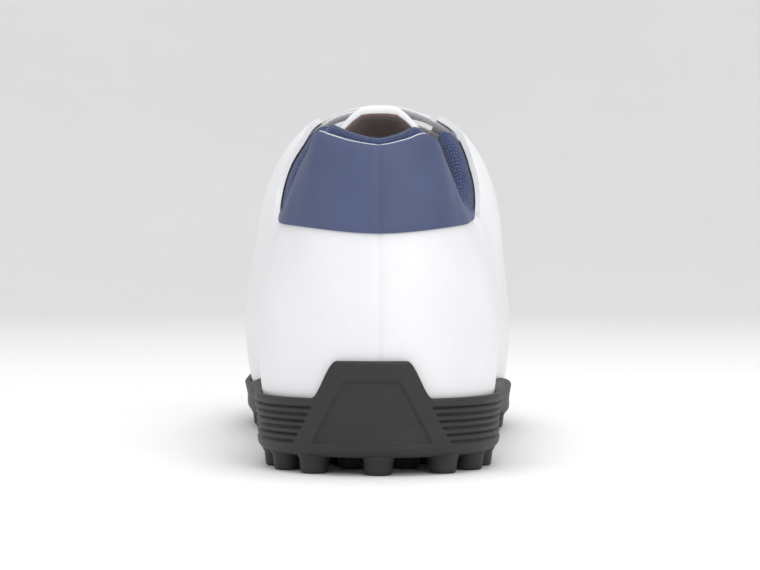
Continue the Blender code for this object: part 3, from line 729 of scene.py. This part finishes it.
def makePanel():
    lastWay = panel["line"][-1][0] * last["length"]
    lines = []
    for way in np.linspace(-lastWay, lastWay, 190):
        column = columnAtWay(way)
        profile = rib(column)
        places = np.arange(len(profile), dtype=float)
        top = collarHeight(column) - panel["topMargin"]
        start, end = np.interp((panelLow(way), top), profile[:, 1], places)
        seam = 0.35 * millimetre * bumpAt(way, 0, 0.7 * millimetre)
        inner = sample(inset(profile, -panel["gap"]), start, end, panel["rows"])
        outer = sample(inset(profile, -panel["gap"] - panel["thick"] + seam), start, end, panel["rows"])
        middle = (inner + outer) / 2
        edge = np.minimum(np.arange(panel["rows"]), np.arange(panel["rows"])[::-1])
        full = np.minimum(1, np.array((0.25, 0.8, 1.0))[np.minimum(edge, 2)])[:, None]
        outer = middle + (outer - middle) * full
        lines.append(inSpace(column, np.vstack((inner, outer[::-1]))))
    mesh = tidyMesh(gridMesh("heelPanel", lines, closedLine=True, caps=True), sharp=60)
    return settle(newObject("heelPanel", mesh, [materials["panelCoat"]]), "panel_synthetic", "heel_panel")


def makeLining():
    rows = lining["rows"]
    lines, ways, around = [], [], []
    for way in np.linspace(-lining["lastWay"], lining["lastWay"], 300):
        column = columnAtWay(way)
        profile = rib(column)
        places = np.arange(len(profile), dtype=float)
        edge = edgePlace(column, profile)
        hem = float(np.interp(collarHeight(column) - lining["depth"], profile[:, 1], places))
        outer = sample(inset(profile, lining["gap"] + upper["wall"]), hem, edge, rows)
        thin = sample(inset(profile, lining["gap"] + upper["wall"] + lining["hem"]), hem, edge, rows)
        thick = sample(inset(profile, lining["gap"] + upper["wall"] + lining["pad"]), hem, edge, rows)
        inner = thin + (thick - thin) * np.linspace(0, 1, rows)[:, None] ** 0.6
        up = outer[-1] - outer[-2]
        up /= np.linalg.norm(up)
        across = np.array((-up[1], up[0]))
        turns = np.linspace(0, math.pi, 14)[1:-1]
        rim = [
            outer[-1] + up * lining["rise"] * math.sin(turn) + across * lining["pad"] * (1 - math.cos(turn)) / 2
            for turn in turns
        ]
        loop = np.vstack((outer, rim, inner[::-1]))
        steps = np.linalg.norm(np.diff(loop, axis=0), axis=1)
        lines.append(inSpace(column, loop))
        ways.append(way)
        around.append(np.concatenate(([0], np.cumsum(steps))))
    mesh = gridMesh("collarLining", lines, closedLine=True, caps=True, us=ways, vs=around)
    piece = newObject("collarLining", tidyMesh(mesh, sharp=60), [materials["liningKnit"]])
    settle(piece, "lining_knit", "collar_lining")
    return piece


makePanel()
makeLining()


# The tongue, with its white face and warm grey back

def tongueTop(y, across):
    share = (y - tongue["top"]) / (tongue["end"] - tongue["top"])
    profile = rib(sideColumn(1 if across > 0 else -1, y))
    crown = tongue["crown"] * (1 - easeStep(share / 0.55)) + tongue["leastCrown"]
    gap = upper["wall"] + 4 * last["clearance"]
    arch = profile[-1, 1] - gap * easeStep(share / 0.25) - crown * (across / tongue["archHalf"]) ** 2
    under = inset(profile, gap)
    order = np.argsort(under[:, 0])
    ceiling = float(np.interp(abs(across), under[order, 0], under[order, 1]))
    within = easeStep((throatHalf(y) - tongue["ease"] / 2 - abs(across)) / tongue["ease"])
    return min(arch, ceiling + float(within) * upper["wall"])


def makeTongue():
    lines, around = [], 25
    radius = tongue["thick"] / 2
    turns = np.linspace(0.12, math.pi / 2, 9)
    stations = [(tongue["top"] + radius - radius * math.cos(t), math.sin(t)) for t in turns]
    stations += [(y, 1.0) for y in np.linspace(tongue["top"] + radius, tongue["end"], 44)[1:]]
    for y, full in stations:
        share = (y - tongue["top"]) / (tongue["end"] - tongue["top"])
        half = tongue["halfWidth"] * (1 - 0.22 * share) - radius * (1 - full) * 0.6
        thick = tongue["thick"] * (1 - 0.35 * share)
        across = half * np.sin(np.linspace(-math.pi / 2, math.pi / 2, around))
        tops = np.array([tongueTop(y, a) for a in across])
        nearEdge = np.clip((half - np.abs(across)) / (thick / 2), 0, 1)
        edge = np.sqrt(nearEdge * (2 - nearEdge))
        middle = tops - thick / 2
        over = middle + thick / 2 * full * edge
        under = middle - thick / 2 * full * edge
        x = float(midline(y)) + across
        top = np.column_stack((x, np.full(around, y), over))
        low = np.column_stack((x, np.full(around, y), under))[::-1][1:-1]
        lines.append(np.vstack((top, low)))
    mesh = gridMesh("tongue", lines, closedLine=True, caps=True)
    faceRow = np.arange(len(mesh.polygons)) % (2 * around - 2)
    isBack = (faceRow >= around - 1).astype(int)
    mesh.polygons.foreach_set("material_index", isBack)
    piece = newObject("tonguePad", mesh, [materials["tongueFace"], materials["tongueBack"]])
    tidyMesh(mesh, sharp=60)
    settle(piece, "tongue_fabric", "tongue")
    return piece


makeTongue()


# The outsole: ribbed heel wall, raised tab with its recess, and round studs

def wallOut(column, z):
    # How far the wall stands out past the upper at each height
    x, y = at(column, column.reach)
    out = np.full(len(z), sole["wall"])
    slant = sole["tabTopWidth"] / 2 + (sole["tabHeight"] - z) * sole["tabFlare"]
    off = np.abs(x - sole["tabCentre"]) - slant
    soft = 0.6 * millimetre
    onTab = easeStep(0.5 - off / soft) * easeStep((last["heelCentre"] - y) / 0.004)
    field = easeStep(0.5 - (off + sole["tabBorder"]) / soft)
    field *= easeStep((z - sole["tabFieldLow"]) / soft) * easeStep((sole["tabFieldTop"] - z) / soft)
    low = underside(y) + sole["ribStart"]
    phase = (z - low) / sole["ribPitch"]
    grooves = np.exp(-(((phase - np.round(phase)) / 0.20) ** 2))
    grooves *= (phase > 0.5) & (phase < sole["ribCount"] + 0.5)
    fade = easeStep((0.060 - y) / 0.012)
    return out - sole["ribDepth"] * grooves * fade * (1 - onTab) - sole["tabRecess"] * field * onTab


def soleLine(column):
    profile = rib(column)
    top, edge = wallTop(column), column.reach
    low = float(underside(at(column, edge)[1]))
    footZ = profile[0, 1]
    line = []
    for share in (0.0, 0.3, 0.6, 0.8, 0.92):
        reach = share * (edge - sole["edgeRound"])
        line.append((reach, float(underside(at(column, reach)[1]))))
    heights = np.linspace(low + sole["edgeRound"], top - sole["topRound"], 62)
    skin = np.interp(np.maximum(heights, footZ), profile[:30, 1], profile[:30, 0])
    reaches = skin + last["clearance"] + wallOut(column, heights)
    for turn in np.linspace(0, math.pi / 2, 7)[:-1]:
        over, up = math.sin(turn), 1 - math.cos(turn)
        line.append((reaches[0] - sole["edgeRound"] * (1 - over), low + sole["edgeRound"] * up))
    line += list(zip(reaches, heights))
    for turn in np.linspace(0, math.pi / 2, 6)[1:]:
        over = reaches[-1] - sole["topRound"] * (1 - math.cos(turn))
        line.append((over, heights[-1] + sole["topRound"] * math.sin(turn)))
    skinTop = float(np.interp(max(top, footZ), profile[:30, 1], profile[:30, 0]))
    line.append((skinTop + last["clearance"], top - 0.4 * millimetre))
    middle = (top + footZ) / 2
    line.append((float(np.interp(middle, profile[:30, 1], profile[:30, 0])) + last["clearance"], middle))
    line.append((profile[0, 0] + last["clearance"], footZ - last["clearance"]))
    line.append((0.0, float(bedHeight(column.foot[1]))))
    return inSpace(column, np.array(line))


def insetOutline(distance):
    tangent = np.roll(soleOutline, -1, axis=0) - np.roll(soleOutline, 1, axis=0)
    tangent /= np.linalg.norm(tangent, axis=1)[:, None]
    return soleOutline + distance * np.column_stack((-tangent[:, 1], tangent[:, 0]))


def studPlaces():
    places = []
    insetBy = sole["studEdge"]
    while insetBy < last["widths"]["ball"] / 2:
        loop = insetOutline(insetBy)
        loop = np.vstack((loop, loop[:1]))
        length = np.concatenate(([0], np.cumsum(np.linalg.norm(np.diff(loop, axis=0), axis=1))))
        pitch = sole["studPitch"] if insetBy == sole["studEdge"] else sole["studRingGap"]
        count = int(round(length[-1] / pitch))
        for k in range(count):
            way = (k + 0.5 * (len(places) > 0)) * length[-1] / count
            point = np.array([np.interp(way, length, loop[:, axis]) for axis in (0, 1)])
            share = point[1] / last["length"]
            onBridge = 0.33 < share < 0.50 and (insetBy > sole["studEdge"] or 0.37 < share < 0.46)
            fromEdge = np.linalg.norm(soleOutline - point, axis=1).min()
            apart = min([np.linalg.norm(point - other) for other in places], default=1)
            if not onBridge and fromEdge > insetBy * 0.97 and apart > sole["studPitch"] * 0.78:
                places.append(point)
        insetBy += sole["studRingGap"]
    return places


def turnedMesh(name, outlineLine, sides):
    # A line of radius and height turned round the Z axis
    turns = np.linspace(0, 2 * math.pi, sides, endpoint=False)
    lines = [[(r * math.cos(t), r * math.sin(t), z) for r, z in outlineLine] for t in turns]
    return tidyMesh(gridMesh(name, lines, closedRun=True), sharp=50, merge=1e-6)


# A node tree that sets one small piece on every guide point, standing along its lift

def link(tree, *pairs):
    for start, end in pairs:
        tree.links.new(start, end)


def newTree(name, sockets):
    tree = bpy.data.node_groups.new(name, "GeometryNodeTree")
    tree.interface.new_socket("Guide", in_out="INPUT", socket_type="NodeSocketGeometry")
    tree.interface.new_socket("Result", in_out="OUTPUT", socket_type="NodeSocketGeometry")
    for label, kind in sockets:
        tree.interface.new_socket(label, in_out="INPUT", socket_type=kind)
    return tree, tree.nodes.new("NodeGroupInput"), tree.nodes.new("NodeGroupOutput")


def liftOf(tree):
    return newNode(
        tree, "GeometryNodeInputNamedAttribute", {"Name": "lift"}, data_type="FLOAT_VECTOR"
    ).outputs["Attribute"]


def scatterTree():
    tree, given, result = newTree(
        "setOnPoints", (("Piece", "NodeSocketObject"), ("Finish", "NodeSocketMaterial"))
    )
    turn = newNode(tree, "FunctionNodeAlignRotationToVector", {"Vector": liftOf(tree)}, axis="Z")
    info = newNode(tree, "GeometryNodeObjectInfo", {"Object": given.outputs["Piece"]})
    spread = newNode(
        tree, "GeometryNodeInstanceOnPoints",
        {"Points": given.outputs["Guide"], "Instance": info.outputs["Geometry"], "Rotation": turn.outputs[0]},
    )
    real = newNode(tree, "GeometryNodeRealizeInstances", {"Geometry": spread.outputs[0]})
    finish = newNode(
        tree, "GeometryNodeSetMaterial",
        {"Geometry": real.outputs[0], "Material": given.outputs["Finish"]},
    )
    link(tree, (finish.outputs[0], result.inputs[0]))
    return tree


setOnPoints = scatterTree()


def guideMesh(name, runs):
    # runs: lists of (point, lift), each joined into one line
    points, lifts, edges = [], [], []
    for run in runs:
        first = len(points)
        points += [tuple(point) for point, lift in run]
        lifts += [tuple(lift) for point, lift in run]
        edges += [(k, k + 1) for k in range(first, len(points) - 1)]
    mesh = bpy.data.meshes.new(name)
    mesh.from_pydata(points, edges, [])
    attribute = mesh.attributes.new("lift", "FLOAT_VECTOR", "POINT")
    attribute.data.foreach_set("vector", np.array(lifts, float).ravel())
    return mesh


def growFrom(tree, name, guide, values):
    holder = newObject(name, guide)
    grow = holder.modifiers.new("grow", "NODES")
    grow.node_group = tree
    sockets = {item.name: item.identifier for item in tree.interface.items_tree if item.in_out == "INPUT"}
    for label, value in values.items():
        grow[sockets[label]] = value
    return applyModifiers(holder)


def makeOutsole():
    fine = ringOfColumns(0.42 * millimetre, 1.6 * millimetre)
    mesh = tidyMesh(gridMesh("outsoleCup", [soleLine(column) for column in fine], closedRun=True), sharp=50)
    piece = newObject("outsoleCup", mesh, [materials["soleRubber"]])
    return settle(piece, "sole_rubber", "outsole")


def makeStuds():
    tip, top, soft = sole["studTipRadius"], sole["studTopRadius"], sole["studTipRound"]
    high = sole["studHeight"]
    turns = np.linspace(0, math.pi / 2, 5)
    line = [(0.0, -high)] + [
        (tip - soft + soft * math.sin(t), -high + soft * (1 - math.cos(t))) for t in turns
    ]
    line += [(top - 0.1 * millimetre, -0.9 * millimetre), (top + 0.5 * millimetre, 0.1 * millimetre)]
    line += [(top + 0.5 * millimetre, sole["studRoot"]), (0.0, sole["studRoot"])]
    seed = newObject("studShape", turnedMesh("studShape", line, 20))
    guide = guideMesh("studs", [[((x, y, float(underside(y))), (0, 0, 1))] for x, y in studPlaces()])
    piece = growFrom(setOnPoints, "studs", guide, {"Piece": seed, "Finish": materials["soleRubber"]})
    bpy.data.objects.remove(seed)
    return settle(piece, "sole_rubber")


def makeInsole():
    lines = []
    for column in ring[::2]:
        edge = insoleEdge(column)
        thick, soft = insole["thick"], insole["round"]
        line = [(0, 0), (edge * 0.5, 0), (edge, 0)]
        line += [
            (edge - soft + soft * math.cos(t), thick - soft + soft * math.sin(t))
            for t in np.linspace(0, math.pi / 2, 6)
        ]
        line += [(edge * share, thick) for share in (0.85, 0.6, 0.3, 0.0)]
        placed = [
            (reach, float(bedHeight(at(column, reach)[1])) + last["clearance"] + rise) for reach, rise in line
        ]
        lines.append(inSpace(column, np.array(placed)))
    mesh = tidyMesh(gridMesh("insoleSheet", lines, closedRun=True), sharp=50)
    return settle(newObject("insoleSheet", mesh, [materials["insoleCloth"]]), "insole_foam", "insole")


makeOutsole()
makeStuds()
makeInsole()


# The lace: up through each eyelet, over the throat and under the eyestay to the next pair

lace = {"width": 0.0060, "thick": 0.0011, "holeWidth": 0.0034, "under": 0.0025, "lie": 0.0008, "cross": 0.0006}


def laceStrip(start, end, points):
    # points: (share of the way, lift, share of the full width)
    (y0, a0), (y1, a1) = start, end
    shares, lifts, widths = (np.array(column, float) for column in zip(*points))
    steps = np.linspace(0, len(points) - 1, 12 * (len(points) - 1) + 1)
    knots = np.arange(len(points))
    lines = []
    for step in steps:
        share, lift, wide = (smooth(knots, values, step) for values in (shares, lifts, widths))
        y, across = y0 + (y1 - y0) * share, a0 + (a1 - a0) * share
        normal = normalOver(y, across)
        lines.append((skinOver(y, across) + normal * lift, normal, wide))
    path = np.array([line[0] for line in lines])
    tangents = np.gradient(path, axis=0)
    tangents /= np.linalg.norm(tangents, axis=1)[:, None]
    run = path[-1] - path[0]
    loops, us = [], np.concatenate(([0], np.cumsum(np.linalg.norm(np.diff(path, axis=0), axis=1))))
    turns = np.linspace(0, 2 * math.pi, 16, endpoint=False)
    for (point, normal, wide), tangent in zip(lines, tangents):
        flat = np.cross(normal, run)
        flat /= np.linalg.norm(flat)
        up = np.cross(tangent, flat)
        up /= np.linalg.norm(up)
        half = (lace["holeWidth"] + (lace["width"] - lace["holeWidth"]) * wide) / 2
        thick = lace["thick"] / 2 * (1 + 0.5 * (1 - wide))
        across = half * np.sign(np.cos(turns)) * np.abs(np.cos(turns)) ** 0.6
        rise = thick * np.sign(np.sin(turns)) * np.abs(np.sin(turns)) ** 0.8
        loops.append(point + np.outer(across, flat) + np.outer(rise, up))
    vs = np.tile(turns / (2 * math.pi) * 2 * lace["width"], (len(loops), 1))
    return loops, us, vs


def makeLaces():
    rows = eyeletPlaces()
    under, lie, cross = -lace["under"], lace["lie"], lace["cross"]
    y, across = rows[-1]
    strips = [
        laceStrip(
            (y, -across), (y, across),
            ((0, under, 0), (0.02, -0.0006, 0), (0.10, lie, 0.8), (0.3, lie, 1), (0.5, lie, 1),
             (0.7, lie, 1), (0.90, lie, 0.8), (0.98, -0.0006, 0), (1, under, 0)),
        )
    ]
    for k in range(len(rows) - 1):
        (y0, across0), (y1, across1) = rows[k + 1], rows[k]
        for side in (-1, 1):
            edge = eyelets["inset"] / (across0 + across1)
            middle = -0.0004 + cross * side
            lowest = k == len(rows) - 2
            begin = ((0, under, 0), (0.02, -0.0006, 0), (edge * 0.5, lie, 0.8), (edge * 1.1, lie, 1))
            if lowest:
                begin = ((0, under, 0.2), (edge * 0.6, under, 0.9), (edge * 1.3, under + 0.0006, 1))
            finish = ((1 - edge * 1.4, under + 0.0005, 1), (1 - edge * 0.7, under, 0.9), (1, under, 0.3))
            points = begin + ((0.5, middle, 1),) + finish
            strips.append(laceStrip((y0, -side * across0), (y1, side * across1), points))
    work = bmesh.new()
    for loops, us, vs in strips:
        mesh = gridMesh("laceStrip", loops, closedLine=True, caps=True, us=us, vs=vs)
        work.from_mesh(mesh)
        bpy.data.meshes.remove(mesh)
    mesh = bpy.data.meshes.new("laces")
    work.to_mesh(mesh)
    work.free()
    piece = newObject("lacedLace", tidyMesh(mesh, sharp=60), [materials["laceBraid"]])
    return settle(piece, "lace_braid", "laces")


makeLaces()


# Floor, light and camera

stage = {"radius": 3.0, "rise": 1.2, "curve": 1.4}


def makeFloor():
    turns = np.linspace(0, 2 * math.pi, 96, endpoint=False)
    radii = np.concatenate((np.linspace(0, stage["radius"] - stage["curve"], 8), stage["radius"] - stage["curve"] + stage["curve"] * np.sin(np.linspace(0.1, math.pi / 2, 16))))
    heights = np.concatenate((np.zeros(8), stage["rise"] * (1 - np.cos(np.linspace(0.1, math.pi / 2, 16)))))
    lines = [[(r * math.cos(t), r * math.sin(t), z) for r, z in zip(radii, heights)] for t in turns]
    floor = newObject("floor", tidyMesh(gridMesh("floor", lines, closedRun=True), sharp=80))
    for polygon in floor.data.polygons:
        if polygon.normal.z < 0:
            floor.data.flip_normals()
            break
    look = {
        "colour": (0.90, 0.90, 0.90), "second": (0.92, 0.92, 0.92), "patches": 3, "rough": (0.7, 0.8),
        "grain": 400, "depth": 0.00005, "bump": 0.1,
    }
    floor.data.materials.append(newMaterial("studioFloor", look))


def addLight(name, place, aim, size, power):
    light = bpy.data.lights.new(name, "AREA")
    light.shape = "RECTANGLE"
    light.size, light.size_y = size
    light.energy = power
    lamp = bpy.data.objects.new(name, light)
    lamp.location = place
    lamp.rotation_euler = (Vector(aim) - Vector(place)).to_track_quat("-Z", "Y").to_euler()
    bpy.context.scene.collection.objects.link(lamp)


def makeCamera():
    camera = bpy.data.cameras.new("camera")
    camera.lens = 100.3
    camera.sensor_width = 36
    camera.clip_start = 0.01
    eye = bpy.data.objects.new("camera", camera)
    eye.location = (shift.x - 0.00055, shift.y - 0.0017 - 0.58, 0.060)
    eye.rotation_euler = (math.radians(90 - 0.7), 0, 0)
    bpy.context.scene.collection.objects.link(eye)
    bpy.context.scene.camera = eye


def setWorld(strength):
    world = bpy.data.worlds.new("studio")
    world.use_nodes = True
    world.node_tree.nodes["Background"].inputs[0].default_value = (1, 1, 1, 1)
    world.node_tree.nodes["Background"].inputs[1].default_value = strength
    bpy.context.scene.world = world


makeFloor()
setWorld(0.72)
addLight("topSoftbox", (0.1, -0.1, 1.3), (0, 0, 0), (1.4, 1.4), 9)
addLight("backSoftbox", (0.7, -1.3, 0.7), (0, -0.1, 0.04), (0.8, 0.8), 5)
addLight("fillSoftbox", (-0.9, -1.0, 0.6), (0, -0.1, 0.04), (0.8, 0.8), 1.6)
makeCamera()
bpy.context.scene.view_settings.view_transform = "Standard"
print("studio ready")
